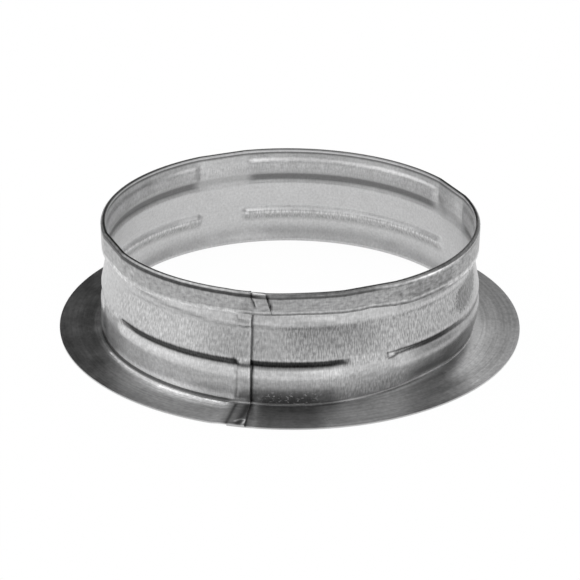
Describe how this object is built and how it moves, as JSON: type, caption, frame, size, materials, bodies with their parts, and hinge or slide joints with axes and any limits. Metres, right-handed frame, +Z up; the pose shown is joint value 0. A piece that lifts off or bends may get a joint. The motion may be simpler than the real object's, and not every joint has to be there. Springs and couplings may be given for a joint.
{
  "type": "duct connector collar",
  "caption": "Round flanged sheet-metal collar for a ventilation duct, with a folded rim and interrupted beads pressed into its wall.",
  "frame": {"origin": "middle of the flange's underside", "axes": "+Z runs up through the ring from the flange to the folded rim; the lap seam is near -Y"},
  "size_m": [0.152, 0.152, 0.0377],
  "materials": {
    "galvanised_steel": "dull galvanised sheet with faint tool marks"
  },
  "bodies": {
    "root": {"collar": "galvanised_steel"}
  },
  "joints": []
}
